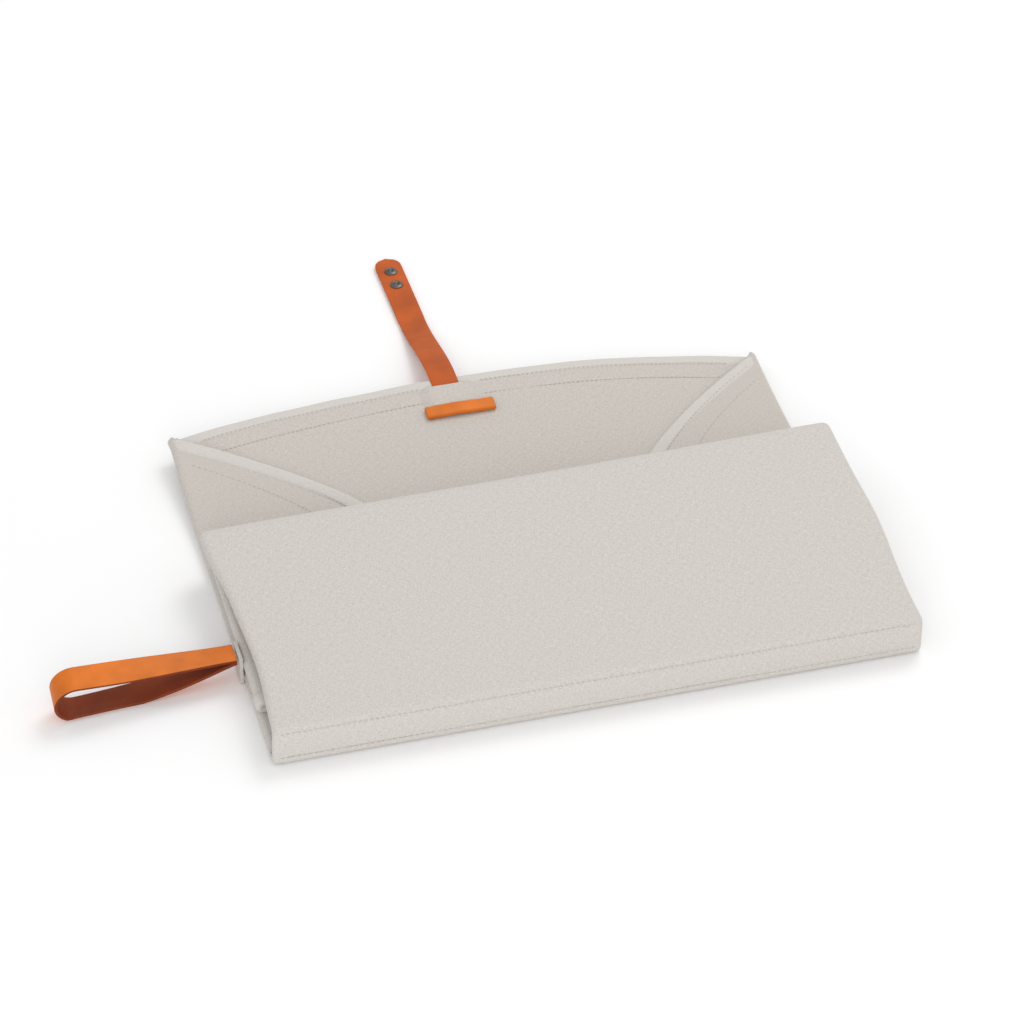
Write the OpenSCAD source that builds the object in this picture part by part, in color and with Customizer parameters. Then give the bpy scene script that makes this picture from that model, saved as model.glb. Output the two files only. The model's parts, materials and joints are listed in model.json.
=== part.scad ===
// A folding changing mat. Its side wings are folded in, its front section is folded back over
// the stack with its inner third tucked under, and its rear flap lies open with a leather strap
// on it. The strap closes round the spine onto two studs underneath.
// X runs along the spine, Y from the spine to the flap, Z up.
// The origin is the centre of the back section's underside.

/* [Mat] */
// Width of the folded mat, along the spine
mat_w = 380; // [300:5:460]
// Length of the back section, from the spine to the flap
back_len = 180; // [150:5:230]
// Length of the flap, from the back section to the crown of its arc
flap_len = 136; // [100:2:165]
// How far the arc's ends lie behind its crown
arc_drop = 24; // [12:1:36]
// Width of the wings that are folded in at both sides
wing_w = 115; // [80:5:145]
// Height of the spine
spine_h = 25; // [22:0.5:34]
// Length of the front section, from the spine to its rear fold
front_len = 178; // [146:2:178]
// Length of the inner section, which is tucked under the front section
inner_len = 128; // [90:2:128]
// How much higher the rear fold stands than the spine
front_rise = 12; // [10:0.5:18]
// How high the flap's crown stands off the ground
flap_rise = 10; // [4:0.5:12]

/* [Cloth] */
// Thickness of the woven cover
cloth_t = 0.6; // [0.4:0.05:0.75]
// Thickness of the padding inside each section
pad_t = 2.2; // [1.6:0.1:2.6]
// Width of the binding tape round the open edges
binding_w = 8; // [5:0.5:12]
// Thickness of one side of the binding tape
binding_t = 0.35; // [0.2:0.05:0.4]
// Air between layers that lie on each other
layer_gap = 0.2; // [0.1:0.05:0.3]

/* [Strap] */
// Distance of the strap's middle from the mat's middle
strap_x = -12.5; // [-60:0.5:60]
// Width of the leather strap
strap_w = 17; // [12:0.5:24]
// Thickness of the leather
leather_t = 2; // [1.4:0.1:2.2]
// How far the strap's exit lies behind the arc's crown
lip_inset = 9; // [7:0.5:14]
// Width of the toggle bar that stops the strap in its slot
bar_w = 43.5; // [30:0.5:60]
// Depth of the toggle bar
bar_d = 9; // [6:0.5:14]
// Thickness of the toggle bar
bar_t = 2.8; // [2:0.1:4]
// Diameter of a snap socket
snap_d = 8.5; // [7:0.5:9.5]
// Distance between the two snaps
snap_pitch = 15.4; // [12:0.2:18]
// Distance of the last snap from the strap's tip
snap_end = 15.7; // [10:0.1:20]

/* [Wrist loop] */
// Distance of the loop's middle from the spine
loop_y = 83; // [40:1:130]
// Width of the loop's strip
loop_w = 15; // [10:0.5:20]
// Reach of the loop from its tab to its far end
loop_len = 104; // [70:1:140]
// Height of the loop at its far end
loop_h = 25; // [16:0.5:26]

/* [Hidden] */
$fn = 64;

LEFT = -1;
RIGHT = 1;
seam_gap = 0.4;
cloth = [0.82, 0.79, 0.76];
lining_cloth = [0.79, 0.76, 0.73];
tape = [0.85, 0.83, 0.8];
foam = [0.93, 0.93, 0.92];
leather = [0.8, 0.42, 0.2];
nickel = [0.35, 0.34, 0.33];

// one padded section: cover, padding, lining, then the wing that is folded in over it
panel_t = 2 * cloth_t + pad_t;
wing_z = panel_t + 2 * binding_t + layer_gap;
stack_t = wing_z + panel_t;
fold_r = stack_t / 2;
panel_half = mat_w / 2 - fold_r;
wing_edge = mat_w / 2 - wing_w;

// the rear fold joins the front section's far end to the inner section below it
inner_z = stack_t + 2 * binding_t + 2 * layer_gap;
inner_lift = 3.8;
rear_r = (spine_h + front_rise - inner_z - inner_lift) / 2;
front_flat = front_len - rear_r;
front_slope = atan(front_rise / front_flat);
inner_slope = atan(inner_lift / inner_len);
inner_y = front_flat - inner_len * cos(inner_slope);

flap_slope = asin(flap_rise / flap_len);
arc_r = (pow(mat_w / 2, 2) + pow(arc_drop, 2)) / (2 * arc_drop);
wing_run = (flap_len - arc_drop) / wing_w;
flap_start = seam_gap + (stack_t + binding_t) * tan(flap_slope);

// the strap is in four lengths, with bends where it meets the spine's two edges when closed
lip_y = flap_len - lip_inset;
strap_z = panel_t + 2 * binding_t + layer_gap;
strap_top = strap_z + leather_t;
bend_gap = 0.3;
root_len = 17;
upper_run = 58;
middle_run = 29.5;
tip_run = 55;
root_end = lip_y + root_len;
upper_y = back_len + root_end * cos(flap_slope) - strap_top * sin(flap_slope);
upper_z = root_end * sin(flap_slope) + strap_top * cos(flap_slope);
cap_t = 0.9;
ground_top = cap_t + leather_t;
middle_y = upper_y + upper_run;
middle_z = ground_top + 0.7;
tip_y = middle_y + middle_run;
tip_end = tip_y + tip_run;
snap_ys = [tip_end - snap_end, tip_end - snap_end - snap_pitch];
socket_h = 1.4;
post_r = 2;

// the studs lie where the sockets come to when the strap is wrapped round the spine
wrap_out = 2.5;
stud_ys = [for (y = snap_ys) y - tip_y - wrap_out];
stud_r = 1.8;
stud_flange_r = 3.8;
stud_post_r = 1;
patch_w = 24;
patch_margin = 12;
patch_y = min(stud_ys) - patch_margin;
patch_len = snap_pitch + 2 * patch_margin;
patch_t = 1;

tab_t = 2;
tab_top = 18;
loop_z = 15;
loop_r = loop_h / 2;
loop_skew = 6; // the loop's far end lies a little nearer the spine
loop_root_half = leather_t + 0.2;
loop_root_x = -mat_w / 2 - tab_t - 0.4 - loop_root_half - loop_w / 2 * sin(loop_skew);
loop_far_x = loop_root_x - loop_len + loop_r;
loop_far_z = loop_r + 0.5;

// ---- frames: in each, a section's cover faces local z = 0 and its wings lie at wing_z ----

module at_spine() translate([0, -back_len / 2, 0]) children();

module front_frame()
    at_spine() translate([0, 0, spine_h]) rotate([front_slope, 0, 0]) mirror([0, 0, 1]) children();

module inner_frame()
    at_spine() translate([0, inner_y, inner_z]) rotate([inner_slope, 0, 0]) children();

module flap_frame()
    at_spine() translate([0, back_len, 0]) rotate([flap_slope, 0, 0]) children();

// ---- shapes that repeat ----

module layer(z, t, y0, y1)
    translate([-panel_half, y0, z]) cube([2 * panel_half, y1 - y0, t]);

module cover_layer(y0, y1) layer(0, cloth_t, y0, y1);
module padding_layer(y0, y1) layer(cloth_t, pad_t, y0, y1);
module lining_layer(y0, y1) layer(cloth_t + pad_t, cloth_t, y0, y1);

// a box given by two distances from the middle, on the side asked for
module side_box(side, x0, x1, y0, y1, z0, z1)
    translate([side > 0 ? x0 : -x1, y0, z0]) cube([x1 - x0, y1 - y0, z1 - z0]);

module side_fold(side, y0, y1)
    translate([side * panel_half, y1, fold_r]) rotate([90, 0, 0]) linear_extrude(y1 - y0)
        difference() {
            circle(fold_r);
            circle(fold_r - panel_t);
            translate([side > 0 ? -fold_r - 1 : 0, -fold_r - 1]) square([fold_r + 1, 2 * fold_r + 2]);
        }

module side_folds(y0, y1)
    for (side = [LEFT, RIGHT]) side_fold(side, y0, y1);

module straight_wing(side, y0, y1)
    side_box(side, wing_edge + binding_t, panel_half, y0, y1, wing_z, wing_z + panel_t);

module straight_bindings(y0, y1)
    for (side = [LEFT, RIGHT])
        difference() {
            side_box(side, wing_edge, wing_edge + binding_w, y0, y1,
                wing_z - binding_t, wing_z + panel_t + binding_t);
            side_box(side, wing_edge + binding_t, wing_edge + binding_w + 1, y0 - 1, y1 + 1,
                wing_z, wing_z + panel_t);
        }

// the flap's outline, drawn in by an inset along its arc
module flap_outline(inset)
    intersection() {
        translate([-panel_half, flap_start]) square([2 * panel_half, flap_len]);
        translate([0, flap_len - arc_r]) circle(arc_r - inset, $fn = 200);
    }

module flap_layer(z, t)
    translate([0, 0, z]) linear_extrude(t) flap_outline(binding_t);

// the triangle of wing on the flap, drawn in by an inset along its slanting edge
module flap_wing_outline(side, inset) {
    edge = wing_edge + inset * norm([1, wing_run]) / wing_run;
    polygon([
        [side * edge, flap_start],
        [side * panel_half, flap_start],
        [side * panel_half, flap_start + (panel_half - edge) * wing_run]
    ]);
}

module flap_wing(side)
    flap_frame() translate([0, 0, wing_z]) linear_extrude(panel_t) flap_wing_outline(side, binding_t);

module flap_wing_binding(side)
    flap_frame() difference() {
        translate([0, 0, wing_z - binding_t]) linear_extrude(panel_t + 2 * binding_t)
            difference() {
                flap_wing_outline(side, 0);
                flap_wing_outline(side, binding_w);
            }
        translate([0, 0, wing_z]) linear_extrude(panel_t) flap_wing_outline(side, binding_t);
    }

// a strip of strap, from its outline in Y and Z
module strap_strip(outline)
    at_spine() translate([strap_x - strap_w / 2, 0, 0])
        rotate([90, 0, 90]) linear_extrude(strap_w) polygon(outline);

// ---- back section ----

module patch_window(clear, z0, z1)
    translate([strap_x - patch_w / 2 - clear, patch_y - clear, z0])
        cube([patch_w + 2 * clear, patch_len + 2 * clear, z1 - z0]);

module stud_bores(r)
    for (y = stud_ys) translate([strap_x, y, -1]) cylinder(r = r, h = panel_t + 3);

module back_shell() color(cloth) at_spine() difference() {
    cover_layer(0, back_len);
    patch_window(0, -1, panel_t);
}

module back_padding() color(foam) at_spine() difference() {
    padding_layer(0, back_len);
    patch_window(0.2, -1, panel_t);
}

module back_lining() color(lining_cloth) at_spine() difference() {
    lining_layer(0, back_len);
    stud_bores(stud_post_r + 0.1);
}

module back_side_folds() color(cloth) at_spine() side_folds(panel_t + seam_gap, back_len);
module back_wing_left() color(cloth) at_spine() straight_wing(LEFT, panel_t + seam_gap, back_len);
module back_wing_right() color(cloth) at_spine() straight_wing(RIGHT, panel_t + seam_gap, back_len);
module back_wing_bindings() color(tape) at_spine() straight_bindings(panel_t + seam_gap, back_len);

module stud_patch() color(leather) at_spine() difference() {
    patch_window(0, cloth_t + pad_t - patch_t, cloth_t + pad_t);
    stud_bores(stud_post_r + 0.1);
}

module stud_posts() color(nickel) at_spine()
    for (y = stud_ys) translate([strap_x, y, 0]) {
        flange_z = cloth_t + pad_t - patch_t;
        translate([0, 0, flange_z - 0.5]) cylinder(r = stud_flange_r, h = 0.5);
        translate([0, 0, 0.1]) cylinder(r = stud_r, h = flange_z - 0.5);
        translate([0, 0, flange_z - 0.1]) cylinder(r = stud_post_r, h = panel_t - flange_z + 0.1);
    }

module stud_caps() color(nickel) at_spine()
    for (y = stud_ys) translate([strap_x, y, panel_t]) cylinder(r1 = snap_d / 2, r2 = snap_d / 2 - 0.6, h = 0.6);

module loop_tab() color(cloth) at_spine()
    translate([-mat_w / 2 - tab_t, loop_y - loop_w / 2 - 1, 0.5])
        cube([tab_t, loop_w + 2, tab_top - 0.5]);

// ---- spine ----

module spine_layer(y, t)
    translate([-panel_half, y, panel_t + seam_gap])
        cube([2 * panel_half, t, spine_h - 2 * (panel_t + seam_gap)]);

module spine_shell() color(cloth) at_spine() spine_layer(0, cloth_t);
module spine_padding() color(foam) at_spine() spine_layer(cloth_t, pad_t);
module spine_lining() color(lining_cloth) at_spine() spine_layer(cloth_t + pad_t, cloth_t);

// ---- front section and its rear fold ----

front_run = front_flat / cos(front_slope);
front_wing_y = panel_t + 4;
front_wing_run = front_run - 2;

module front_shell() color(cloth) front_frame() cover_layer(0, front_run);
module front_padding() color(foam) front_frame() padding_layer(0, front_run);
module front_lining() color(lining_cloth) front_frame() lining_layer(0, front_run);
module front_side_folds() color(cloth) front_frame() side_folds(front_wing_y, front_wing_run);
module front_wing_left() color(cloth) front_frame() straight_wing(LEFT, front_wing_y, front_wing_run);
module front_wing_right() color(cloth) front_frame() straight_wing(RIGHT, front_wing_y, front_wing_run);
module front_wing_bindings() color(tape) front_frame() straight_bindings(front_wing_y, front_wing_run);

module rear_fold() color(cloth) at_spine()
    translate([-panel_half, front_flat + 0.3, inner_z + inner_lift + rear_r])
        rotate([90, 0, 90]) linear_extrude(2 * panel_half)
            difference() {
                circle(rear_r);
                circle(rear_r - panel_t);
                translate([-rear_r - 1, -rear_r - 1]) square([rear_r + 1, 2 * rear_r + 2]);
            }

// ---- inner section ----

module inner_shell() color(cloth) inner_frame() cover_layer(binding_t, inner_len);
module inner_padding() color(foam) inner_frame() padding_layer(binding_t, inner_len);
module inner_lining() color(lining_cloth) inner_frame() lining_layer(binding_t, inner_len);
module inner_side_folds() color(cloth) inner_frame() side_folds(binding_w + seam_gap, inner_len - 2);
module inner_wing_left() color(cloth) inner_frame() straight_wing(LEFT, binding_w + seam_gap, inner_len - 2);
module inner_wing_right() color(cloth) inner_frame() straight_wing(RIGHT, binding_w + seam_gap, inner_len - 2);
module inner_wing_bindings() color(tape) inner_frame() straight_bindings(binding_w + seam_gap, inner_len - 2);

module inner_end_binding() color(tape) inner_frame() difference() {
    layer(-binding_t, panel_t + 2 * binding_t, 0, binding_w);
    translate([-mat_w, binding_t, 0]) cube([2 * mat_w, binding_w, panel_t]);
}

// ---- flap ----

module flap_shell() color(cloth) flap_frame() flap_layer(0, cloth_t);
module flap_padding() color(foam) flap_frame() flap_layer(cloth_t, pad_t);
module flap_lining() color(lining_cloth) flap_frame() flap_layer(cloth_t + pad_t, cloth_t);
module flap_side_folds() color(cloth) flap_frame()
    side_folds(flap_start, flap_start + (panel_half - wing_edge) * wing_run - 1);

module arc_binding() color(tape) flap_frame() difference() {
    translate([0, 0, -binding_t]) linear_extrude(panel_t + 2 * binding_t)
        difference() {
            flap_outline(0);
            flap_outline(binding_w);
        }
    linear_extrude(panel_t) flap_outline(binding_t);
}

module flap_wing_left() color(cloth) flap_wing(LEFT);
module flap_wing_right() color(cloth) flap_wing(RIGHT);
module flap_wing_binding_left() color(tape) flap_wing_binding(LEFT);
module flap_wing_binding_right() color(tape) flap_wing_binding(RIGHT);

bar_inset = lip_inset + 27;
bar_y = flap_len - bar_inset;
bridge_w = 28;
bridge_y = bar_y + bar_d / 2 + 4;

module slot_bridge() color(lining_cloth) flap_frame() difference() {
    translate([strap_x - bridge_w / 2, bridge_y, panel_t])
        cube([bridge_w, lip_y - 1.4 - bridge_y, strap_top + cloth_t + 0.3 - panel_t]);
    translate([strap_x - strap_w / 2 - 0.5, 0, panel_t - 1])
        cube([strap_w + 1, flap_len, strap_top + 0.3 - panel_t + 1]);
}

module toggle_bar() color(leather) flap_frame() {
    translate([strap_x + 3 - bar_w / 2, bar_y - bar_d / 2, strap_z]) cube([bar_w, bar_d, bar_t]);
    translate([strap_x - strap_w / 2, bar_y, strap_z])
        cube([strap_w, lip_y - bend_gap - bar_y, leather_t]);
}

// ---- strap, from the lip on the flap to its tip on the ground ----

module strap_root() color(leather) flap_frame()
    translate([strap_x - strap_w / 2, lip_y, strap_z]) cube([strap_w, root_len - bend_gap, leather_t]);

module strap_upper() color(leather) {
    drop = upper_z - middle_z;
    tops = [
        [upper_y, upper_z],
        [upper_y + upper_run * 0.3, upper_z - drop * 0.22],
        [upper_y + upper_run * 0.7, middle_z + drop * 0.2],
        [middle_y - bend_gap, middle_z]
    ];
    strap_strip(concat(tops, [for (i = [3:-1:0]) tops[i] - [0, leather_t]]));
}

module strap_middle() color(leather)
    strap_strip([
        [middle_y, middle_z], [tip_y - bend_gap, ground_top],
        [tip_y - bend_gap, cap_t], [middle_y, middle_z - leather_t]
    ]);

module strap_tip() color(leather) at_spine() difference() {
    translate([strap_x, 0, cap_t]) linear_extrude(leather_t) {
        translate([-strap_w / 2, tip_y]) square([strap_w, tip_run - strap_w / 2]);
        translate([0, tip_end - strap_w / 2]) circle(strap_w / 2);
    }
    for (y = snap_ys) translate([strap_x, y, -1]) cylinder(r = post_r + 0.1, h = 6);
}

module snap_sockets() color(nickel) at_spine()
    for (y = snap_ys) translate([strap_x, y, ground_top]) difference() {
        cylinder(r1 = snap_d / 2, r2 = snap_d / 2 - 0.9, h = socket_h);
        translate([0, 0, 0.3]) cylinder(r = stud_r + 0.2, h = socket_h);
    }

module snap_caps() color(nickel) at_spine()
    for (y = snap_ys) translate([strap_x, y, 0]) {
        cylinder(r1 = snap_d / 2 - 0.5, r2 = snap_d / 2, h = cap_t);
        cylinder(r = post_r, h = ground_top);
    }

// ---- wrist loop: a strip that runs out, round its far end and back ----

// a drop, from a root half as high as the ends that meet there to a round far end, drawn in by inset
module drop_outline(inset) {
    reach = loop_root_x - loop_far_x;
    fall = loop_far_z - loop_z;
    span = norm([reach, fall]);
    root_half = loop_root_half - inset;
    r = loop_r - inset;
    lean = asin((r - root_half) / span);
    turn = atan2(fall, -reach);
    translate([loop_root_x, loop_z]) rotate(turn) {
        polygon(concat(
            inset > 0 ? [[0, root_half], [0, -root_half]] :
                [for (t = [90 + lean, 135, 180, 225, 270 - lean]) root_half * [cos(t), sin(t)]],
            [for (i = [0:36]) let (t = -90 - lean + i * (90 + lean) / 18) [span, 0] + r * [cos(t), sin(t)]]
        ));
    }
}

// turned about an upright line through the root
module skewed() translate([loop_root_x, loop_y, 0]) rotate(loop_skew) translate([-loop_root_x, 0, 0])
    children();

module wrist_loop() color(leather) at_spine() skewed()
    translate([0, loop_w / 2, 0]) rotate([90, 0, 0]) linear_extrude(loop_w)
        difference() {
            drop_outline(0);
            drop_outline(leather_t);
        }

// two rows of thread that close the loop's root
module loop_stitches() color(tape) at_spine() skewed()
    for (i = [0:3])
        translate([loop_root_x - 5, -loop_w / 2 + 3 + i * (loop_w - 6) / 3, loop_z])
            rotate([0, 90, 0]) cylinder(r = 0.18, h = 3, $fn = 24);

back_shell();
back_padding();
back_lining();
back_side_folds();
back_wing_left();
back_wing_right();
back_wing_bindings();
stud_patch();
stud_posts();
stud_caps();
loop_tab();
spine_shell();
spine_padding();
spine_lining();
front_shell();
front_padding();
front_lining();
front_side_folds();
front_wing_left();
front_wing_right();
front_wing_bindings();
rear_fold();
inner_shell();
inner_padding();
inner_lining();
inner_side_folds();
inner_wing_left();
inner_wing_right();
inner_wing_bindings();
inner_end_binding();
flap_shell();
flap_padding();
flap_lining();
flap_side_folds();
arc_binding();
flap_wing_left();
flap_wing_right();
flap_wing_binding_left();
flap_wing_binding_right();
slot_bridge();
toggle_bar();
strap_root();
strap_upper();
strap_middle();
strap_tip();
snap_sockets();
snap_caps();
wrist_loop();
loop_stitches();
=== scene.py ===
# %% [markdown]
# # A folding changing mat in woven cloth and leather
# The mat is one long padded cloth. Its wings are folded in, its front section is folded back over
# the stack, and its rear flap lies open with a leather strap on it. The imported CAD model is the
# frame: every size below is read from it, and some cloth and leather pieces ride on its bodies.

# %% Load the frame
import json
import math

import bmesh
import bpy
from mathutils import Matrix, Vector, noise


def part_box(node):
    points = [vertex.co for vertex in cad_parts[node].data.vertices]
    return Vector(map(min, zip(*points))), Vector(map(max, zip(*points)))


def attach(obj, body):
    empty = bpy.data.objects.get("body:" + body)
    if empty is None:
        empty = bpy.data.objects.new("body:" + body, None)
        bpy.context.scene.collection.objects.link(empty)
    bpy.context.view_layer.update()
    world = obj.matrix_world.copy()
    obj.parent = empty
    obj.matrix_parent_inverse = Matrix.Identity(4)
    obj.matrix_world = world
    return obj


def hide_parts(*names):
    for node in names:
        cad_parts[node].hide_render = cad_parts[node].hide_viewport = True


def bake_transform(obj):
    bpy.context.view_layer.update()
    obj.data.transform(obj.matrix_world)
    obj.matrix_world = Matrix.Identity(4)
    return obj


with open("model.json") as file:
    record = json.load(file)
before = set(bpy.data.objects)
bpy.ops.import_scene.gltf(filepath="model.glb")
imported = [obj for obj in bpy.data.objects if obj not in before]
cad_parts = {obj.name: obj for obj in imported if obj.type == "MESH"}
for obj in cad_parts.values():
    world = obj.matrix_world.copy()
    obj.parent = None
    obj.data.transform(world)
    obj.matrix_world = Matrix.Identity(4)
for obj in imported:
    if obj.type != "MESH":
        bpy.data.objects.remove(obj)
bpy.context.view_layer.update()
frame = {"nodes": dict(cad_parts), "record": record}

MM = 0.001
joints = {j["name"]: Vector(j["pos_m"]) for j in frame["record"]["behaviour"]["joints"]}

# %% [markdown]
# The sizes of the cloth come from the boxes of its CAD slabs: how wide the folded mat is, where
# the back section ends, how thick one padded layer is, and how thick a layer with its wing is.

# %% Sizes of the folded cloth
half_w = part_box("back_side_folds")[1][0]
spine_y, back_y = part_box("back_shell")[0][1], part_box("back_shell")[1][1]
layer_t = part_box("back_lining")[1][2]
stack_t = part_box("back_side_folds")[1][2]
spine_h = joints["front_fold"].z
wing_edge = -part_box("back_wing_left")[1][0]
rear_low, rear_high = (Vector(c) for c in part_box("rear_fold"))
rear_r = (rear_high.z - rear_low.z) / 2
inner_end = Vector(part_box("inner_end_binding")[0])
crown_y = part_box("arc_binding")[1][1]
corner_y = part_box("arc_binding")[0][1] + 8 * MM
crown_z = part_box("arc_binding")[1][2] - layer_t - 2 * MM
fold_r = stack_t / 2
panel_half = half_w - fold_r
tape_t, tape_w = 0.45 * MM, 9.5 * MM
print("layer", round(layer_t / MM, 1), "mm, stack", round(stack_t / MM, 1), "mm")

# %% [markdown]
# A finish is a material with procedural nodes. The cloth is a melange weave, where pale and dark
# fibres are spun together, so its colour changes from thread to thread. The pattern has to follow
# the cloth round its folds, so it reads the piece's own UV map, which holds metres of flat cloth.
# One node group makes the threads for every cloth, and another the grain of every leather.

# %% Node groups for threads and grain
def group(name, inputs, outputs):
    """An empty shader group with named float or vector inputs, and its first two nodes."""
    tree = bpy.data.node_groups.new(name, "ShaderNodeTree")
    for label, kind, value in inputs:
        socket = tree.interface.new_socket(label, in_out="INPUT", socket_type=kind)
        if value is not None:
            socket.default_value = value
    for label in outputs:
        tree.interface.new_socket(label, in_out="OUTPUT", socket_type="NodeSocketFloat")
    return tree, tree.nodes.new("NodeGroupInput"), tree.nodes.new("NodeGroupOutput")


def math_node(tree, operation, *values):
    """A Math node; each value is a number or a socket to link."""
    node = tree.nodes.new("ShaderNodeMath")
    node.operation = operation
    for socket, value in zip(node.inputs, values):
        if isinstance(value, (int, float)):
            socket.default_value = value
        else:
            tree.links.new(value, socket)
    return node.outputs[0]


def stretched_noise(tree, vector, scale, detail, size=(1, 1, 1)):
    """Noise on a vector that is first scaled along each of its axes."""
    mapping = tree.nodes.new("ShaderNodeMapping")
    mapping.inputs["Scale"].default_value = size
    tree.links.new(vector, mapping.inputs["Vector"])
    cloud = tree.nodes.new("ShaderNodeTexNoise")
    cloud.inputs["Scale"].default_value = scale
    cloud.inputs["Detail"].default_value = detail
    tree.links.new(mapping.outputs[0], cloud.inputs["Vector"])
    return cloud.outputs["Fac"]


def make_threads():
    """Warp and weft threads with slubs, as a height, and the melange of their fibres, as a tint."""
    tree, given, result = group(
        "threads", [("Flat", "NodeSocketVector", None)], ["Height", "Tint"]
    )
    flat = given.outputs["Flat"]
    warp = stretched_noise(tree, flat, 480, 2, (4.0, 0.7, 1))
    weft = stretched_noise(tree, flat, 480, 2, (0.7, 4.0, 1))
    crossing = math_node(tree, "MAXIMUM", warp, weft)
    fibre = stretched_noise(tree, flat, 1100, 3)
    height = math_node(tree, "MULTIPLY_ADD", crossing, 1.0, math_node(tree, "MULTIPLY", fibre, 0.6))
    spread = math_node(tree, "SUBTRACT", math_node(tree, "ADD", warp, weft), fibre)
    tree.links.new(height, result.inputs["Height"])
    tree.links.new(spread, result.inputs["Tint"])
    return tree


def make_grain():
    """The fine pebbled grain of smooth leather, and slow changes of its tan."""
    tree, given, result = group(
        "leather grain", [("Place", "NodeSocketVector", None)], ["Height", "Mottle"]
    )
    place = given.outputs["Place"]
    pebble = tree.nodes.new("ShaderNodeTexVoronoi")
    pebble.inputs["Scale"].default_value = 1500
    tree.links.new(place, pebble.inputs["Vector"])
    pores = stretched_noise(tree, place, 900, 4)
    height = math_node(tree, "MULTIPLY_ADD", pebble.outputs["Distance"], 0.5, pores)
    tree.links.new(height, result.inputs["Height"])
    tree.links.new(stretched_noise(tree, place, 60, 5), result.inputs["Mottle"])
    return tree


THREADS, GRAIN = make_threads(), make_grain()


def finish(name, group_tree, coordinates, colours, tint, bump, roughness, sheen=0.0, metallic=0.0):
    """A Principled material whose colour runs between two colours by one output of a group."""
    material = bpy.data.materials.new(name)
    material.use_nodes = True
    tree = material.node_tree
    shader = tree.nodes["Principled BSDF"]
    shader.inputs["Metallic"].default_value = metallic
    shader.inputs["Sheen Weight"].default_value = sheen
    shader.inputs["Sheen Roughness"].default_value = 0.5
    shader.inputs["Specular IOR Level"].default_value = 0.5 if metallic else 0.2
    place = tree.nodes.new("ShaderNodeTexCoord").outputs[coordinates]
    pattern = tree.nodes.new("ShaderNodeGroup")
    pattern.node_tree = group_tree
    tree.links.new(place, pattern.inputs[0])
    ramp = tree.nodes.new("ShaderNodeValToRGB")
    (low, dark), (high, pale) = colours
    ramp.color_ramp.elements[0].position, ramp.color_ramp.elements[1].position = low, high
    ramp.color_ramp.elements[0].color = (*dark, 1)
    ramp.color_ramp.elements[1].color = (*pale, 1)
    tree.links.new(pattern.outputs[tint], ramp.inputs["Fac"])
    tree.links.new(ramp.outputs["Color"], shader.inputs["Base Color"])
    height = tree.nodes.new("ShaderNodeBump")
    height.inputs["Strength"].default_value = bump
    height.inputs["Distance"].default_value = 0.3 * MM
    tree.links.new(pattern.outputs["Height"], height.inputs["Height"])
    tree.links.new(height.outputs["Normal"], shader.inputs["Normal"])
    low_rough, high_rough = roughness
    rough = math_node(tree, "MULTIPLY_ADD", pattern.outputs[tint], high_rough - low_rough, low_rough)
    tree.links.new(rough, shader.inputs["Roughness"])
    return material


def shade(colour, factor):
    return tuple(c * factor for c in colour)


def tones(colour, dark, pale, edge=0.3):
    """A colour's dark and pale tone, each with its place along the pattern."""
    return [(edge, shade(colour, dark)), (1 - edge, shade(colour, pale))]


LINEN, LINING, TAPE = (0.60, 0.565, 0.53), (0.57, 0.53, 0.485), (0.62, 0.59, 0.55)
# The third tone is the loop's flesh side painted far darker: painted shade from the loop's upper strip.
TAN, FLESH, SHADED_FLESH_TONE = (0.66, 0.165, 0.018), (0.49, 0.095, 0.014), (0.20, 0.036, 0.010)
cover_cloth = finish("cover cloth", THREADS, "UV", tones(LINEN, 0.88, 1.09, 0.25),
                     "Tint", 0.35, (0.85, 0.95), sheen=0.15)
lining_cloth = finish("lining cloth", THREADS, "UV", tones(LINING, 0.88, 1.09, 0.25),
                      "Tint", 0.35, (0.85, 0.95), sheen=0.15)
tape_cloth = finish("binding tape", THREADS, "UV", tones(TAPE, 0.94, 1.05, 0.2),
                    "Tint", 0.15, (0.8, 0.9), sheen=0.1)
# The flap's wings are the same cover cloth as the front section, painted in the darker lining tone: painted
# shade.
shaded_flap_cover = finish("flap cover cloth in painted shade", THREADS, "UV", tones(LINING, 0.87, 1.08, 0.25),
                    "Tint", 0.35, (0.85, 0.95), sheen=0.15)
tab_cloth = finish("tab cloth", THREADS, "Object", tones(LINEN, 0.9, 1.07, 0.25),
                   "Tint", 0.3, (0.85, 0.95), sheen=0.15)
leather = finish("tan leather", GRAIN, "Object", tones(TAN, 0.82, 1.15), "Mottle", 0.12, (0.38, 0.55))
flesh_leather = finish("strap leather", GRAIN, "Object", tones(FLESH, 0.85, 1.15),
                       "Mottle", 0.15, (0.45, 0.65))
# The loop's inside: its flesh side in painted shade.
loop_inside_painted_shade = finish("loop inside in painted shade", GRAIN, "Object", tones(SHADED_FLESH_TONE, 0.8, 1.2),
                     "Mottle", 0.15, (0.5, 0.7))
nickel = finish("dark nickel", GRAIN, "Object", [(0.3, (0.10, 0.095, 0.09)), (0.7, (0.17, 0.16, 0.15))],
                "Mottle", 0.02, (0.25, 0.4), metallic=0.95)
thread = finish("sewing thread", GRAIN, "Object",
                [(0.3, (0.50, 0.455, 0.415)), (0.7, (0.58, 0.54, 0.49))], "Mottle", 0.1, (0.7, 0.85))
print("finishes:", len(bpy.data.materials))

# %% [markdown]
# A folded cloth is easiest to make flat. A route is a line made of straight and curved stretches,
# and it says where a point goes after so much cloth. One route folds the cloth across its width,
# wing, side fold, section, side fold, wing, and another folds it along its length.

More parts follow.
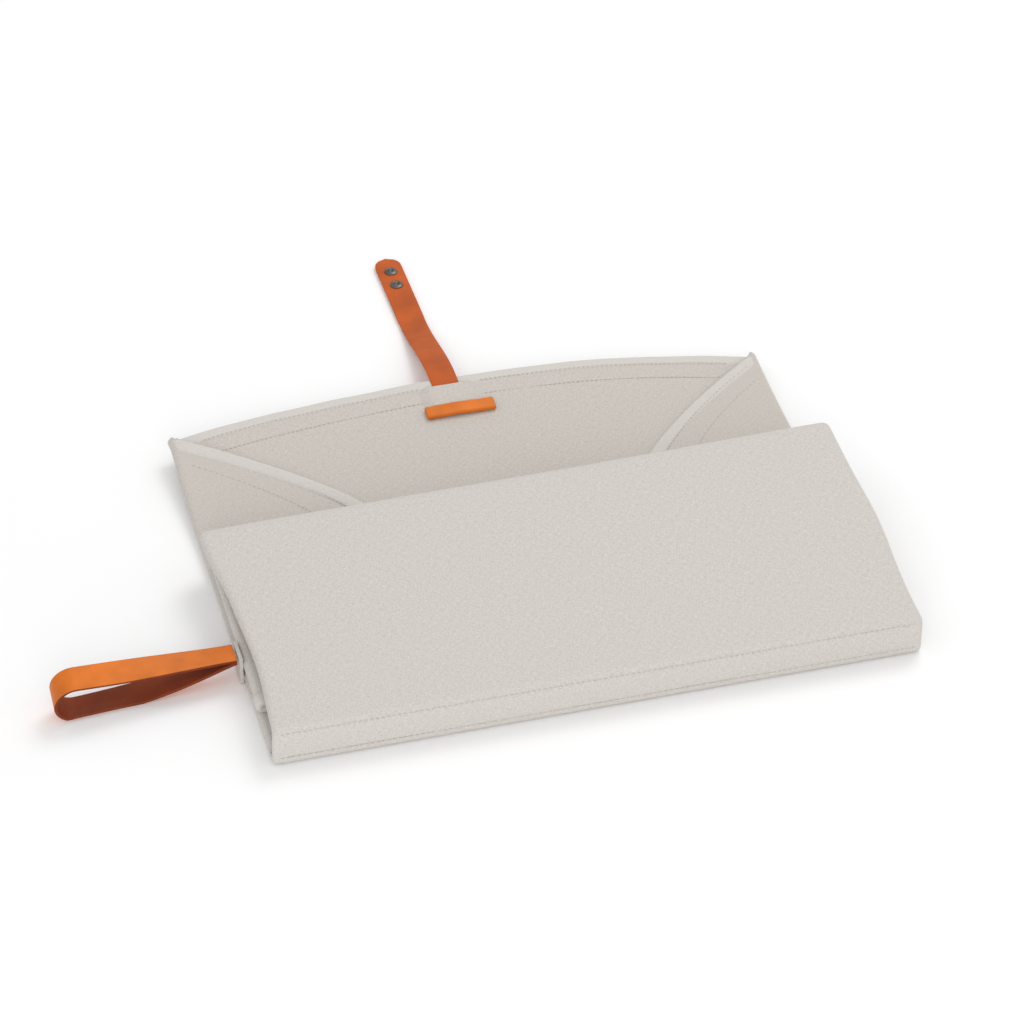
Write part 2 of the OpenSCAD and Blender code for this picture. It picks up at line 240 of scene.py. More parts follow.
# %% Routes and folded cloth
def route(start, heading, stretches):
    """A line of (length, turn) stretches: where it is and which way it heads after a distance."""
    def at(distance):
        (a, b), angle = start, heading
        for length, turn in stretches:
            run = min(distance, length)
            if turn:
                radius, turned = length / turn, angle + turn * run / length
                a += radius * (math.sin(turned) - math.sin(angle))
                b -= radius * (math.cos(turned) - math.cos(angle))
                angle = turned
            else:
                a += run * math.cos(angle)
                b += run * math.sin(angle)
            distance -= run
        return a + distance * math.cos(angle), b + distance * math.sin(angle), angle
    return at


def spaced(*pieces):
    """Stations along a line, from pieces of (length, number of faces)."""
    found = [0.0]
    for length, count in pieces:
        begin = found[-1]
        found += [begin + length * (i + 1) / count for i in range(count)]
    return found


def sewn(name, columns, rows, place, thickness, materials, levels=1, offset=-1.0):
    """A grid of cloth: place(column, row) gives a point and its spot on the flat cloth."""
    bm = bmesh.new()
    bmesh.ops.create_grid(bm, x_segments=len(columns) - 1, y_segments=len(rows) - 1, size=0.5)
    chart = bm.loops.layers.uv.new("flat cloth")
    spots = {}
    for vert in bm.verts:
        i = round((vert.co.x + 0.5) * (len(columns) - 1))
        j = round((vert.co.y + 0.5) * (len(rows) - 1))
        vert.co, spots[vert] = place(columns[i], rows[j])
    for face in bm.faces:
        for loop in face.loops:
            loop[chart].uv = spots[loop.vert]
    return finished(name, bm, thickness, materials, levels, offset)


def finished(name, bm, thickness, materials, levels=1, offset=-1.0):
    """Puts a bmesh in the scene as a smooth object, with its wall and its subdivision."""
    mesh = bpy.data.meshes.new(name)
    bm.to_mesh(mesh)
    bm.free()
    mesh.polygons.foreach_set("use_smooth", [True] * len(mesh.polygons))
    made = bpy.data.objects.new(name, mesh)
    bpy.context.scene.collection.objects.link(made)
    for material in materials:
        mesh.materials.append(material)
    if thickness:
        wall = made.modifiers.new("wall", "SOLIDIFY")
        wall.thickness, wall.offset = thickness, offset
        wall.use_rim = True
        wall.material_offset = len(materials) - 1
        wall.material_offset_rim = len(materials) - 1
    if levels:
        smooth = made.modifiers.new("smooth", "SUBSURF")
        smooth.levels = smooth.render_levels = levels
    return made


def soft(x, y, seed, size):
    """A smooth bump between -1 and 1 that repeats nowhere near itself."""
    return noise.noise(Vector((x / size, y / size, seed)))


def hill(distance, width):
    return math.exp(-((distance / width) ** 2))


def smooth_step(t):
    t = max(0.0, min(1.0, t))
    return t * t * (3 - 2 * t)


def inside(x):
    """0 on the mat's folded sides, and 1 from a little way in."""
    return smooth_step((half_w - abs(x)) / (12 * MM))


wing_w = panel_half - wing_edge
fold_run = math.pi * fold_r
across = route((-wing_edge, stack_t), math.pi,
               [(wing_w, 0), (fold_run, math.pi), (2 * panel_half, 0), (fold_run, math.pi), (wing_w, 0)])
across_columns = spaced((wing_w, 12), (fold_run, 8), (2 * panel_half, 60), (fold_run, 8), (wing_w, 12))

# %% [markdown]
# The front section starts low on the spine, turns over the spine's edge, runs up to the rear
# fold, goes round it and ends under itself as the inner section. It is one padded cloth, so the
# side folds and wings go round the rear fold with it. Two rows of stitches press a line into the
# spine, and the padding swells a little between seams.

# %% Front section
mid_z, foot_r = 4.5 * MM, 3.5 * MM
edge_r = 5 * MM
rise = math.atan2(rear_high.z - spine_h, rear_low.y - spine_y)
inner_tilt = math.atan2(rear_low.z - inner_end.z, rear_low.y - inner_end.y)
top_run = (rear_low.y - spine_y) / math.cos(rise) - edge_r
rear_turn = math.pi + rise - inner_tilt
inner_run = rear_low.y - inner_end.y
front_stretches = [(spine_h - edge_r - mid_z, 0), (edge_r * (math.pi / 2 - rise), rise - math.pi / 2),
                   (top_run, 0), (rear_r * rear_turn, -rear_turn), (inner_run, 0)]
front_route = route((spine_y, mid_z), math.pi / 2, front_stretches)
front_run = sum(length for length, turn in front_stretches)
seam_high = spine_h - 3 * MM
top_start = front_stretches[0][0] + front_stretches[1][0]
fold_start = top_start + top_run


def on_front(x, s, depth):
    """A point of the front section: x across, s along its cover, depth under its cover."""
    y, z, angle = front_route(s)
    along = (s - top_start) / top_run
    under = smooth_step((s - fold_start) / (rear_r * rear_turn))
    raised = smooth_step(along) * (1 - under)
    tilt = (2.6 * MM + 3.4 * MM * x / half_w) * raised
    bulge = 2.6 * MM * smooth_step(2 * x / half_w - 1) * hill(along - 0.5, 0.22)
    back = 1.5 * MM * raised
    left = smooth_step(-2 * x / half_w - 1)
    drawn_in = 4.5 * MM * smooth_step(3 * along - 2) * (1 - under)
    bulge += left * (4.2 * MM * hill(along - 0.32, 0.3) - drawn_in)
    return Vector((x + bulge, y + depth * math.sin(angle) + back, z - depth * math.cos(angle) + tilt))


def front_place(u, s):
    x, depth, _ = across(u)
    puff = 0.35 * MM * soft(x, s, 3.1, 0.05) + 0.5 * MM * soft(x, s, 7.7, 0.13)
    seam = 0.55 * MM * hill(s - (seam_high - mid_z), 1.6 * MM) + 0.15 * MM * hill(s, 1.6 * MM)
    tight = 0.7 + 0.3 * smooth_step((s - top_start) / (15 * MM))
    return on_front(x, s, depth * tight + inside(x) * (seam - puff)), (u, s)


front_rows = spaced((front_stretches[0][0], 10), (front_stretches[1][0], 8), (top_run, 44),
                    (front_stretches[3][0], 18), (inner_run, 28))
front_section = sewn("front_section", across_columns, front_rows, front_place, layer_t,
                     [cover_cloth, lining_cloth])
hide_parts("front_shell", "front_padding", "front_lining", "front_side_folds",
            "front_wing_left", "front_wing_right", "rear_fold", "inner_shell", "inner_padding",
            "inner_lining", "inner_side_folds", "inner_wing_left", "inner_wing_right")
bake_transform(front_section)
print("front section is", round(front_run / MM), "mm long")

# %% [markdown]
# The back section starts at the spine's lower seam, turns under it and lies flat. It is cut in two
# under the front section, and the flap section goes on from the cut. The cut shows as a small step
# at the mat's sides. The flap rises gently to its arc, its left corner curls up and its right corner
# a little down.

# %% Back section and flap
split_y = spine_y + 60 * MM
flap_run = crown_y - back_y
flap_turn = 2.2 * math.atan2(crown_z, flap_run)
lap = 1.8 * MM
back_stretches = [(mid_z + lap - foot_r, 0), (foot_r * math.pi / 2, math.pi / 2),
                  (back_y - spine_y - foot_r, 0), (flap_run * 0.75, flap_turn),
                  (flap_run * 0.25, -flap_turn)]
back_route = route((spine_y, mid_z + lap), -math.pi / 2, back_stretches)
under_start = back_stretches[0][0] + back_stretches[1][0]


def run_to(y):
    """How much cloth lies between the middle of the spine and a place on the back section or flap."""
    return under_start + y - spine_y - foot_r


def curl(x, y):
    """How far the flap's corners stand off their place: the left one up, the right one down a little."""
    reach = smooth_step((y - back_y) / (corner_y - back_y))
    left, right = smooth_step((-x / half_w - 0.3) / 0.7), smooth_step((x / half_w - 0.3) / 0.7)
    return reach * (3.0 * MM * left - 2.5 * MM * right)


def on_back(x, s, depth):
    """A point of the back section or flap: x across, s along its cover, depth above its cover."""
    y, z, angle = back_route(s)
    swell = 0.5 * MM * soft(x, y, 5.5, 0.09) + 0.3 * MM * soft(x, y, 9.1, 0.035)
    rest = smooth_step((y - back_y - 5 * MM) / (40 * MM))
    lift = curl(x, y) + inside(x) * swell * rest
    x -= 6.5 * MM * smooth_step(2 * x / half_w - 1) * smooth_step((y - back_y) / (30 * MM))
    return Vector((x, y - depth * math.sin(angle), z + depth * math.cos(angle) + lift))


stud_low, stud_high = (Vector(c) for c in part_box("stud_posts"))


def back_place(u, s):
    x, depth, _ = across(u)
    seam = 0.7 * MM * smooth_step((lap + 0.6 * MM - s) / lap)
    tight = 0.7 + 0.3 * smooth_step((s - under_start) / (15 * MM))
    y = spine_y + foot_r + s - under_start
    middle = (stud_low + stud_high) / 2
    dimple = smooth_step((14 * MM - abs(x - middle.x)) / (6 * MM))
    dimple *= smooth_step((22 * MM - abs(y - middle.y)) / (6 * MM))
    if depth < 0.1 * MM:
        depth += 1.6 * MM * dimple
    return on_back(x, s, depth * tight + inside(x) * seam), (u, s)


back_section = sewn("back_section", across_columns,
                    spaced((back_stretches[0][0], 8), (back_stretches[1][0], 8),
                           (run_to(split_y) - under_start, 12)),
                    back_place, layer_t, [lining_cloth, cover_cloth], offset=1.0)
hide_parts("back_shell", "back_padding", "back_lining", "back_side_folds",
            "back_wing_left", "back_wing_right")

spine_front = sewn("spine_lining", spaced((2 * panel_half, 20)), spaced((spine_h - 2 * edge_r, 6)),
                   lambda u, s: (Vector((u - panel_half, spine_y + layer_t + 0.6 * MM, edge_r + s)), (u, s)),
                   0.6 * MM, [lining_cloth], levels=0, offset=0)
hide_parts("spine_shell", "spine_padding", "spine_lining")

# %% [markdown]
# The flap's free end is an arc of a large circle. Each column of the flap's grid is cut to the
# arc's length at its place, and each wing narrows along a slanting edge to the corner.

# %% Flap with its wings
arc_drop = crown_y - corner_y
arc_r = (half_w ** 2 + arc_drop ** 2) / (2 * arc_drop)


def arc_y(x):
    """Where the arc lies, at a distance from the middle."""
    return crown_y - arc_r + math.sqrt(arc_r ** 2 - x ** 2)


def wing_inner(y):
    """Half the opening between the wings: straight over the back section, slanting over the flap."""
    t = max(0.0, (y - back_y) / (corner_y - back_y))
    return wing_edge + (half_w - wing_edge) * t ** 1.65


def wing_lift(x, y):
    """How far the flap's wings stand off the lining, in slow waves."""
    return 1.2 * MM * smooth_step((panel_half - abs(x)) / wing_w) * soft(x, y, 1.7, 0.1)


def flap_place(u, s):
    flat_x, depth, heading = across(u)
    t = max(0.0, (split_y + s - back_y) / (crown_y - back_y))
    x, y = flat_x, min(split_y + s, back_y)
    for _ in range(3):
        if t > 0:
            y = back_y + t * (arc_y(min(abs(x), panel_half)) - back_y)
        if abs(heading % math.pi) < 0.01 and depth > fold_r:
            narrow = (panel_half - min(wing_inner(y), panel_half - 1.5 * MM)) / wing_w
            x = math.copysign(panel_half - (panel_half - abs(flat_x)) * narrow, flat_x)
            y = min(y, corner_y - 2 * MM)
    lift = wing_lift(x, y) if depth > fold_r else 0.0
    return on_back(x, run_to(y), depth + lift), (u, y)


flap_rows = spaced((back_y - split_y, 24), (crown_y - back_y, 30))
flap_section = sewn("flap_section", across_columns, flap_rows, flap_place, layer_t,
                    [lining_cloth, shaded_flap_cover], offset=1.0)
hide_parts("flap_shell", "flap_padding", "flap_lining", "flap_side_folds",
            "flap_wing_left", "flap_wing_right")
flap_bend = dict(start=(0, back_y - 2 * MM, 0), end=(0, back_y + 42 * MM, 0))

# %% [markdown]
# Every open edge of the cloth is closed with a folded tape. A tape is a U-shaped route carried
# along the edge: it starts on one face, goes round the edge and ends on the other face.

# %% Binding tapes
def tape(name, edge, stations, low, high, levels=1):
    """A tape over an edge: edge(station) gives a function that places (inset, depth) there."""
    round_r = (high - low) / 2
    side = tape_w - round_r
    around = route((tape_w, low), math.pi, [(side, 0), (math.pi * round_r, -math.pi), (side, 0)])
    columns = spaced((side, 4), (math.pi * round_r, 8), (side, 4))

    def place(u, s):
        inset, depth, _ = around(u)
        sewn_down = 0.85 * MM * smooth_step((inset - tape_w + 2 * MM) / (2 * MM))
        depth += sewn_down if depth < (low + high) / 2 else -sewn_down
        return edge(s)(inset, depth), (u, s)

    made = sewn(name, columns, stations, place, tape_t, [tape_cloth], levels)
    return made


def arc_edge(s):
    """The arc's edge, at a distance along it from its left end."""
    angle = (s - arc_run / 2) / arc_r
    outward = Vector((math.sin(angle), math.cos(angle)))
    centre = Vector((0, crown_y - arc_r))

    def lay(inset, depth):
        x, y = centre + outward * (arc_r - inset)
        return on_back(x, run_to(y), depth + 0.4 * MM * soft(s, inset, 2.2, 0.03))
    return lay


arc_run = 2 * arc_r * math.asin((half_w - 6 * MM) / arc_r)
arc_tape = tape("arc_tape", arc_edge, spaced((arc_run, 90)), -tape_t, layer_t + tape_t)
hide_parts("arc_binding")


def wing_tape(name, side):
    """The tape along a wing's inner edge: straight over the back section, slanting over the flap."""
    begin, finish_y = split_y, corner_y + 1 * MM
    stations = spaced((back_y - begin, 20), (finish_y - back_y, 36))

    def edge(s):
        y = begin + s
        step = 0.5 * MM
        slant = (wing_inner(y + step) - wing_inner(y)) / step
        inward = Vector((side, -slant)).normalized()

        def lay(inset, depth):
            x = side * wing_inner(y) + inward.x * inset
            depth += wing_lift(x, y)
            past = max(0.0, abs(x) - panel_half) / fold_r
            over = depth - fold_r
            if past:
                x, depth = side * (panel_half + over * math.sin(past)), fold_r + over * math.cos(past)
            return on_back(x, run_to(y + inward.y * inset), depth)
        return lay

    made = tape(name, edge, stations, stack_t - layer_t - tape_t, stack_t + tape_t)
    return made


tape_left, tape_right = wing_tape("wing_tape_left", -1), wing_tape("wing_tape_right", 1)
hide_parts("flap_wing_binding_left")
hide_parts("flap_wing_binding_right", "back_wing_bindings")


def inner_edge(s):
    """The inner section's bound end, which runs round both its side folds."""
    x, depth_here, heading = across(s)
    normal = Vector((math.sin(heading), -math.cos(heading)))

    def lay(inset, depth):
        spot = Vector((x, depth_here)) - normal * depth
        return on_front(spot.x, front_run - inset + 1 * MM, spot.y)
    return lay


inner_tape = tape("inner_end_tape", inner_edge, across_columns, -tape_t, layer_t + tape_t)
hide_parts("inner_end_binding")


def front_wing_tape(name, side):
    """The tape along a front wing's inner edge, round the rear fold and along the inner section."""
    stations = spaced((front_run - top_start - 20 * MM, 90))

    def edge(s):
        def lay(inset, depth):
            return on_front(side * (wing_edge + inset), top_start + 12 * MM + s, depth)
        return lay

    made = tape(name, edge, stations, stack_t - layer_t - tape_t, stack_t + tape_t, levels=0)
    return made


front_tape_left = front_wing_tape("front_tape_left", -1)
front_tape_right = front_wing_tape("front_tape_right", 1)
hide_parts("front_wing_bindings")
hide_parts("inner_wing_bindings")
print("tapes made")

# %% [markdown]
# The strap is one strip of leather, laid over the flap's edge and down to the ground. It has three
# bends when it is wrapped round the spine, so the strip is made in three lengths of the same curve
# that lap a little where the leather stays straight.

# %% Strap
strap_low, strap_high = (Vector(c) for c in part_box("strap_root"))
strap_x, strap_w = (strap_low.x + strap_high.x) / 2, strap_high.x - strap_low.x
tip_low, tip_high = (Vector(c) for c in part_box("strap_tip"))
leather_t = tip_high.z - tip_low.z
lip_y, tip_y = joints["strap_lift"].y, tip_high.y
drape_y, upper_y, lower_y = (joints[j].y for j in ("strap_drape", "strap_upper_bend", "strap_lower_bend"))
lip_top, ground_top = joints["strap_lift"].z - 1.8 * MM, tip_high.z


def strap_height(y):
    """The height of the strap's upper face, from the lip to the ground."""
    flat_top = lip_top + 0.9 * MM * smooth_step((y - lip_y) / (12 * MM))
    fall = smooth_step((y - drape_y + 5 * MM) / (upper_y - drape_y + 18 * MM))
    return flat_top + (ground_top - flat_top) * fall


def wear_edges(piece, width, segments):
    """Rounds the cut edges of a piece of leather."""
    round_off = piece.modifiers.new("worn edges", "BEVEL")
    round_off.width, round_off.segments, round_off.limit_method = width, segments, "ANGLE"
    round_off.angle_limit = math.radians(50)


def strap_piece(name, begin, end, columns=8):
    """A length of the strap, with worn round edges and a round tip where it is the last one."""
    rows = max(6, round((end - begin) / (1.5 * MM)))
    stations = spaced((end - begin, rows))

    def place(u, s):
        y = begin + s
        half = strap_w / 2
        from_tip = tip_y - y
        if from_tip < half:
            half = math.sqrt(max(0.0, half ** 2 - (half - from_tip) ** 2))
        share = 2 * u / strap_w - 1
        x = strap_x + share * max(half, 0.4 * MM)
        crown = -0.25 * MM * share ** 4
        near_cut = min(s if begin > lip_y else 1, end - y if end < tip_y else 1)
        dip = 0.3 * MM * max(0.0, 1 - near_cut / (1 * MM))
        return Vector((x, y, strap_height(y) + crown - dip)), (u, y)

    piece = sewn(name, spaced((strap_w, columns)), stations, place, 0, [flesh_leather], levels=0)
    bm = bmesh.new()
    bm.from_mesh(piece.data)
    bmesh.ops.recalc_face_normals(bm, faces=bm.faces)
    if sum(f.normal.z for f in bm.faces) < 0:
        bmesh.ops.reverse_faces(bm, faces=bm.faces)
    bm.to_mesh(piece.data)
    bm.free()
    wall = piece.modifiers.new("wall", "SOLIDIFY")
    wall.thickness, wall.offset = leather_t, -1
    wear_edges(piece, 0.5 * MM, 3)
    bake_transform(piece)
    return piece


cut_high, cut_low = (drape_y + upper_y) / 2, (upper_y + lower_y) / 2
lapped = 1 * MM
strap_a = strap_piece("strap_over_edge", lip_y - 2 * MM, cut_high + lapped)
strap_b = strap_piece("strap_slope", cut_high - lapped, cut_low + lapped)
strap_c = strap_piece("strap_end", cut_low - lapped, tip_y)
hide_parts("strap_root", "strap_upper")
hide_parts("strap_middle")
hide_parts("strap_tip")
print("strap is", round((tip_y - lip_y) / MM), "mm long")

# %% [markdown]
# A snap socket is turned metal: a domed ring with a rolled rim round a dark socket. A ring that
# is the same all round is a profile spun about its axis.

# %% Turned and boxed parts
def turned(name, profile, places, material, body, slot, replaced=()):
    """Spins a profile of (radius, height) about an upright axis, once at each place."""
    bm = bmesh.new()
    for place in places:
        verts = [bm.verts.new(Vector(place) + Vector((r, 0, z))) for r, z in profile]
        edges = [bm.edges.new(pair) for pair in zip(verts, verts[1:])]
        bmesh.ops.spin(bm, geom=verts + edges, cent=place, axis=(0, 0, 1), angle=math.tau,
                       steps=32, use_merge=True)
    bmesh.ops.remove_doubles(bm, verts=bm.verts, dist=0.01 * MM)
    bmesh.ops.recalc_face_normals(bm, faces=bm.faces)
    made = finished(name, bm, 0, [material], levels=0)
    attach(made, body)
    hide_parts(*replaced)
    return made


def snap_places(node):
    """The two places of the snaps, from their group's box."""
    low, high = (Vector(c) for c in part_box(node))
    r = (high.x - low.x) / 2
    x = (low.x + high.x) / 2
    return [(x, low.y + r, low.z), (x, high.y - r, low.z)], r, high.z - low.z


places, r, h = snap_places("snap_sockets")
turned("snap_socket_rings",
       [(0, 0.1 * MM), (r * 0.40, 0.1 * MM), (r * 0.42, h * 0.7), (r * 0.48, h * 0.92), (r * 0.58, h),
        (r * 0.72, h * 0.93), (r * 0.80, h * 0.66), (r * 0.86, h * 0.60), (r * 0.95, h * 0.5),
        (r, h * 0.25), (r * 0.97, 0), (0, 0)],
       places, nickel, "strap_tip", "snap_metal", ["snap_sockets"])
places, r, h = snap_places("snap_caps")
cap_t = tip_low.z
turned("snap_rivet_caps",
       [(0, 0), (r * 0.7, 0.02 * MM), (r * 0.93, cap_t * 0.35), (r, cap_t * 0.8), (r * 0.97, cap_t),
        (0, cap_t)],
       places, nickel, "strap_tip", "snap_metal", ["snap_caps"])

# %% [markdown]
# The toggle bar is the thick leather end that keeps the strap in its slot. It lies on the lining,
# and its neck runs under a bridge of lining cloth to the flap's edge. A box with its corners
# rounded by bevels is enough for it; the neck is a second, thinner box joined to it.

# %% Toggle bar and slot
def bevelled_box(bm, low, high, width, segments=3):
    """A box between two corners, with every edge rounded."""
    size = Vector(high) - Vector(low)
    middle = (Vector(high) + Vector(low)) / 2
    matrix = Matrix.Translation(middle) @ Matrix.Diagonal((*size, 1))
    verts = bmesh.ops.create_cube(bm, size=1, matrix=matrix)["verts"]
    edges = list({edge for vert in verts for edge in vert.link_edges})
    bmesh.ops.bevel(bm, geom=edges, offset=width, affect="EDGES", segments=segments, profile=0.5,
                    material=-1)


def on_flap(x, y, height):
    """A point at a height over the flap's underside."""
    return on_back(x, run_to(y), height)


bar_low, bar_high = (Vector(c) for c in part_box("toggle_bar"))
bar_low.y += 3.5 * MM
bar_d, bar_t = 9.5 * MM, 3 * MM
bar_z = layer_t + 0.3 * MM
bm = bmesh.new()
bevelled_box(bm, (bar_low.x, bar_low.y, bar_z), (bar_high.x, bar_low.y + bar_d, bar_z + bar_t), 1.1 * MM, 4)
bmesh.ops.subdivide_edges(bm, edges=[e for e in bm.edges if e.calc_length() > 20 * MM], cuts=12,
                          use_grid_fill=True)
for vert in bm.verts:
    share = (vert.co.x - strap_x) / (bar_high.x - bar_low.x)
    vert.co.z += 0.7 * MM * hill(share, 0.2) + 0.25 * MM * soft(vert.co.x, vert.co.y, 4.4, 0.02)
bevelled_box(bm, (strap_x - strap_w / 2, bar_low.y + bar_d * 0.6, bar_z - 0.2 * MM),
             (strap_x + strap_w / 2, lip_y - 2 * MM, bar_z + 1.4 * MM), 0.5 * MM, 2)
for vert in bm.verts:
    vert.co = on_flap(*vert.co)
toggle = finished("leather_toggle_bar", bm, 0, [leather], levels=0)
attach(toggle, "flap")
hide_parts("toggle_bar")

slot_y = bar_low.y + bar_d + 1.6 * MM


def bridge_place(u, s):
    """The lining over the strap's neck: raised in the middle, sewn down all round but at its ends."""
    half = 21 * MM
    x, y = strap_x - half + u, slot_y + s
    across_hill = smooth_step((half - abs(u - half)) / (11 * MM))
    along_hill = 0.75 + 0.25 * smooth_step(s / (6 * MM))
    top = (leather_t + 1.9 * MM) * across_hill * along_hill
    bow = 1.2 * MM * math.sin(math.pi * u / (2 * half)) * max(0.0, 1 - s / (20 * MM))
    return on_flap(x, y - bow, layer_t - 0.7 * MM + top), (x, y)


bridge = sewn("slot_bridge_cloth", spaced((42 * MM, 28)),
              spaced((lip_y - 1 * MM - slot_y, 16)), bridge_place, 0.5 * MM, [lining_cloth])
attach(bridge, "flap")
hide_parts("slot_bridge")

# %% [markdown]
# The wrist loop is a strip of leather sewn together at its root. Its face is bright tan, and its
# inside is painted darker: painted shade for the shade that the upper strip casts into the loop.
# The strip is carried along a drop-shaped route: out to the far end, round it and back, and it
# leans towards the front, as a loop does when its lower edge lies on the table.

# %% Wrist loop
loop_low, loop_high = (Vector(c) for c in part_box("wrist_loop"))
tab_low, tab_high = (Vector(c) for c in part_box("loop_tab"))
loop_w = tab_high.y - tab_low.y - 2 * MM
loop_skew = math.radians(6)
far_r = (loop_high.z - loop_low.z) / 2
root = joints["loop_swing"]
loop_length = (root.x - loop_low.x) / math.cos(loop_skew)
far_x, far_z = root.x - loop_length + far_r, loop_low.z + far_r
root_half = leather_t
reach = math.hypot(root.x - far_x, root.z - far_z)
lean = math.asin((far_r - root_half) / reach)
heading = math.atan2(far_z - root.z, far_x - root.x) - lean
straight = reach * math.cos(lean)
loop_half = math.pi + 2 * lean
sewn_end = 2.2 * MM
root_top = (root.x - root_half * math.sin(-heading) - sewn_end * math.cos(heading),
            root.z - root_half * math.cos(heading) - sewn_end * math.sin(heading))
straight += sewn_end
loop_route = route(root_top, heading, [(straight, 0), (far_r * loop_half, loop_half), (straight, 0)])
loop_run = 2 * straight + far_r * loop_half


def loop_place(u, s):
    x, z, _ = loop_route(s)
    reached = root.x - x
    out = max(0.0, reached / loop_length)
    side = u - loop_w / 2
    roll = math.radians(20) * smooth_step(out * 1.4)
    upper = 1 if s < loop_run / 2 else -1
    sag = 2.0 * MM * math.sin(math.pi * min(1.0, out)) * upper
    drop = -2.2 * MM * smooth_step(out)
    y = root.y - reached * math.sin(loop_skew) + side * math.cos(roll) - (z - root.z) * math.sin(roll) * 0.5
    height = z - drop + sag * (-0.2 if upper > 0 else 2.2) + side * math.sin(roll)
    return Vector((root.x - reached * math.cos(loop_skew), y, max(height, 0.3 * MM))), (u, s)


loop_rows = spaced((straight, 50), (far_r * loop_half, 26), (straight, 50))
loop = sewn("wrist_loop_strip", spaced((loop_w, 8)), loop_rows, loop_place, leather_t,
            [leather, loop_inside_painted_shade], levels=0, offset=-1)
wear_edges(loop, 0.4 * MM, 2)
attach(loop, "wrist_loop")
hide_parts("wrist_loop")
print("loop strip is", round(loop_run / MM), "mm long")

# %% [markdown]
# A seam is a row of short threads that dip into the cloth at both ends. One thread is a squeezed
# sphere of a few faces, and a seam repeats it along a line that the cloth's own route gives.

# %% Seams
def seam(name, spots, body, bend=None, length=2.3 * MM, width=0.42 * MM):
    """Threads along a list of points, left out where the strap or its bridge lies over them."""
    bm = bmesh.new()
    for here, there in zip(spots, spots[1:]):
        if here.y > slot_y and abs(here.x - strap_x) < 19 * MM:
            continue
        along = there - here
        turn = along.to_track_quat("X", "Z").to_matrix().to_4x4()
        squeeze = Matrix.Diagonal((length, width, width * 0.8, 1))
        matrix = Matrix.Translation((here + there) / 2) @ turn @ squeeze
        bmesh.ops.create_uvsphere(bm, u_segments=6, v_segments=4, radius=0.5, matrix=matrix)
    made = finished(name, bm, 0, [thread], levels=0)
    if bend:
        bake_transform(made)
    else:
        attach(made, body)
    return made


STITCH = 3.2 * MM


def across_seam(name, on, s, depth, body):
    """A seam right across the folded mat, at one place along its cover."""
    count = round(2 * panel_half / STITCH)
    spots = [on(-panel_half + i * 2 * panel_half / count, s, depth) for i in range(count + 1)]
    return seam(name, spots, body)


across_seam("upper_spine_seam", on_front, seam_high - mid_z, 0.3 * MM, "spine")
lower_seam = across_seam("lower_spine_seam", on_front, 0.9 * MM, 0.12 * MM, "spine")
# The loop's root stitches aren't made in this script. This call only hides their CAD node: the
# seam rides on another body and doesn't stand for them.
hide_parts("loop_stitches")


def arc_seam(name, inset, height):
    """A seam that follows the arc at a distance from it."""
    count = round(arc_run / STITCH)
    spots = [arc_edge(arc_run * (0.035 + 0.93 * i / count))(inset, height) for i in range(count + 1)]
    return seam(name, spots, "flap")


arc_seam("arc_tape_seam", tape_w - 1.2 * MM, layer_t + tape_t + 0.15 * MM)
arc_seam("arc_facing_seam", 21 * MM, layer_t + 0.2 * MM)


def wing_seam(name, side, inset, height):
    """A seam that follows a wing's slanting edge at a distance from it, from the bend to the corner."""
    begin = back_y + 26 * MM
    count = round((corner_y - 6 * MM - begin) * 1.4 / STITCH)
    spots = []
    for i in range(1, count + 1):
        y = begin + (corner_y - 6 * MM - begin) * i / count
        x = side * (wing_inner(y) + inset * 1.4)
        if abs(x) > panel_half - 3 * MM:
            continue
        spots.append(on_back(x, run_to(y), height + wing_lift(x, y)))
    return seam(name, spots, ("back", "flap"), flap_bend)


for side, label in ((-1, "left"), (1, "right")):
    wing_seam(f"wing_tape_seam_{label}", side, tape_w - 1.2 * MM, stack_t + tape_t + 0.1 * MM)
    wing_seam(f"wing_facing_seam_{label}", side, tape_w + 14 * MM, stack_t + 0.1 * MM)

# %% [markdown]
# The studs, their patch and the loop's tab have their right shape in the CAD model already, so
# those nodes stay and only get their finishes.

# %% Finishes of the CAD parts that stay
for node, material in (("stud_patch", leather), ("stud_posts", nickel), ("stud_caps", nickel),
                       ("loop_tab", tab_cloth)):
    holder = frame["nodes"][node]
    holder.data.materials.clear()
    holder.data.materials.append(material)

# %% [markdown]
# The floor is a wide pale sheet. The light is a studio tent: a bright even surround, one large
# soft lamp from behind on the right, and a weaker one at the front.

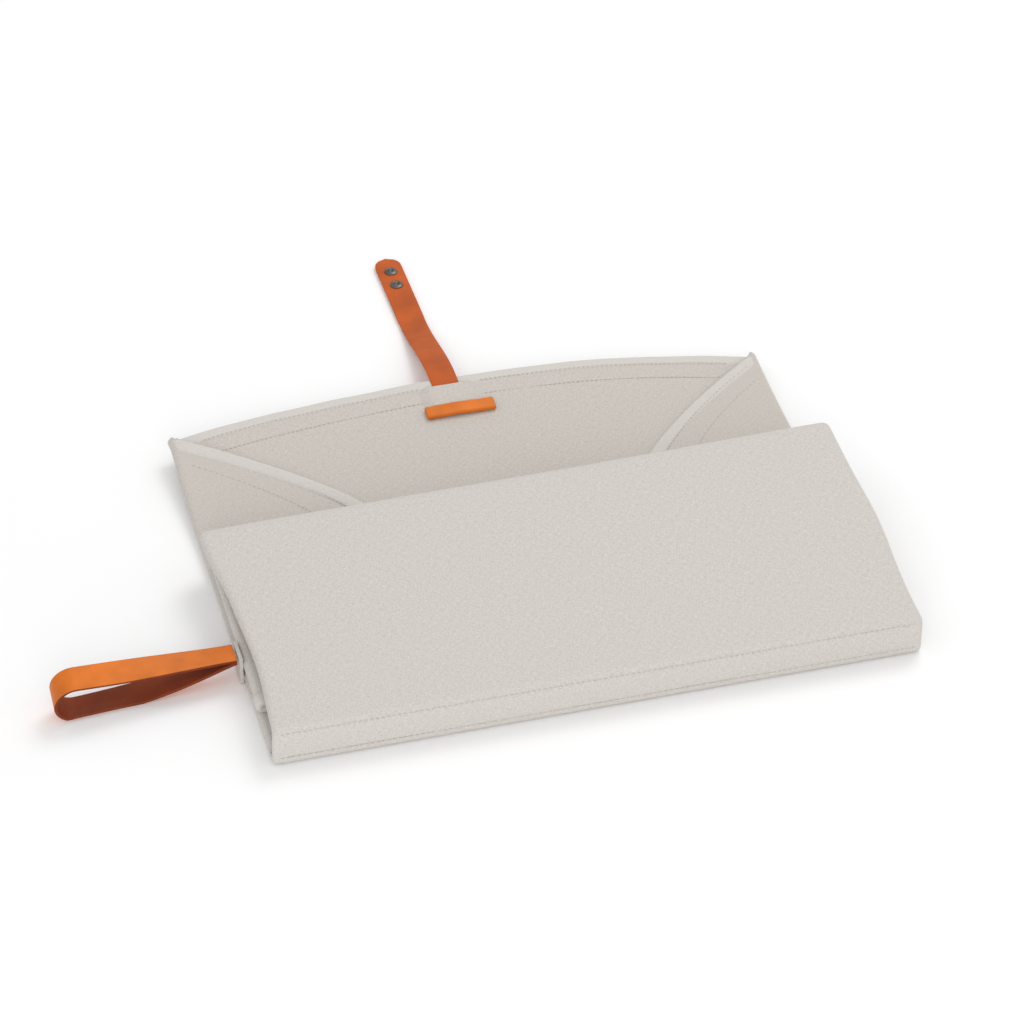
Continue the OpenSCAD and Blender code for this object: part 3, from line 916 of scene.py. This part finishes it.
# %% Floor, light and camera
bpy.ops.mesh.primitive_plane_add(size=12, location=(0, 0, -0.1 * MM))
floor = bpy.context.object
floor.name = "studio_floor"
paper = bpy.data.materials.new("studio paper")
paper.use_nodes = True
paper.node_tree.nodes["Principled BSDF"].inputs["Base Color"].default_value = (0.95, 0.95, 0.95, 1)
paper.node_tree.nodes["Principled BSDF"].inputs["Roughness"].default_value = 0.9
floor.data.materials.append(paper)

world = bpy.data.worlds.new("studio tent")
world.use_nodes = True
world.node_tree.nodes["Background"].inputs["Color"].default_value = (1, 1, 1, 1)
world.node_tree.nodes["Background"].inputs["Strength"].default_value = 0.78
bpy.context.scene.world = world
bpy.context.scene.view_settings.view_transform = "Standard"


def lamp(name, place, target, size, power):
    """A square soft lamp that faces a target."""
    light = bpy.data.lights.new(name, "AREA")
    light.shape, light.size, light.energy = "SQUARE", size, power
    holder = bpy.data.objects.new(name, light)
    holder.location = place
    holder.rotation_euler = (Vector(target) - Vector(place)).to_track_quat("-Z", "Y").to_euler()
    bpy.context.scene.collection.objects.link(holder)


lamp("key_lamp", (0.9, 1.0, 1.9), (0, 0.05, 0), 1.1, 14)
lamp("front_lamp", (-0.5, -2.0, 0.9), (0, 0.0, 0), 1.2, 14)

aim = Vector((-2.03 * MM, spine_y + 188.25 * MM, 0))
turn, tip = math.radians(15.13), math.radians(37.77)
forward = Vector((math.sin(turn) * math.cos(tip), math.cos(turn) * math.cos(tip), -math.sin(tip)))
eye = bpy.data.cameras.new("camera")
eye.lens, eye.sensor_width = 140.3, 36
camera = bpy.data.objects.new("camera", eye)
camera.location = aim - forward * 2.3872
camera.rotation_euler = forward.to_track_quat("-Z", "Y").to_euler()
bpy.context.scene.collection.objects.link(camera)
bpy.context.scene.camera = camera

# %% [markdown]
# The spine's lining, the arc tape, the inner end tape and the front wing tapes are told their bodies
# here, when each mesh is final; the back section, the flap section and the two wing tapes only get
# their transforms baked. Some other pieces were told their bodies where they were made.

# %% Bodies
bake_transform(back_section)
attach(spine_front, "spine")
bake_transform(flap_section)
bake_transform(tape_left)
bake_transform(tape_right)
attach(arc_tape, "flap")
for piece in (inner_tape, front_tape_left, front_tape_right):
    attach(piece, "front")
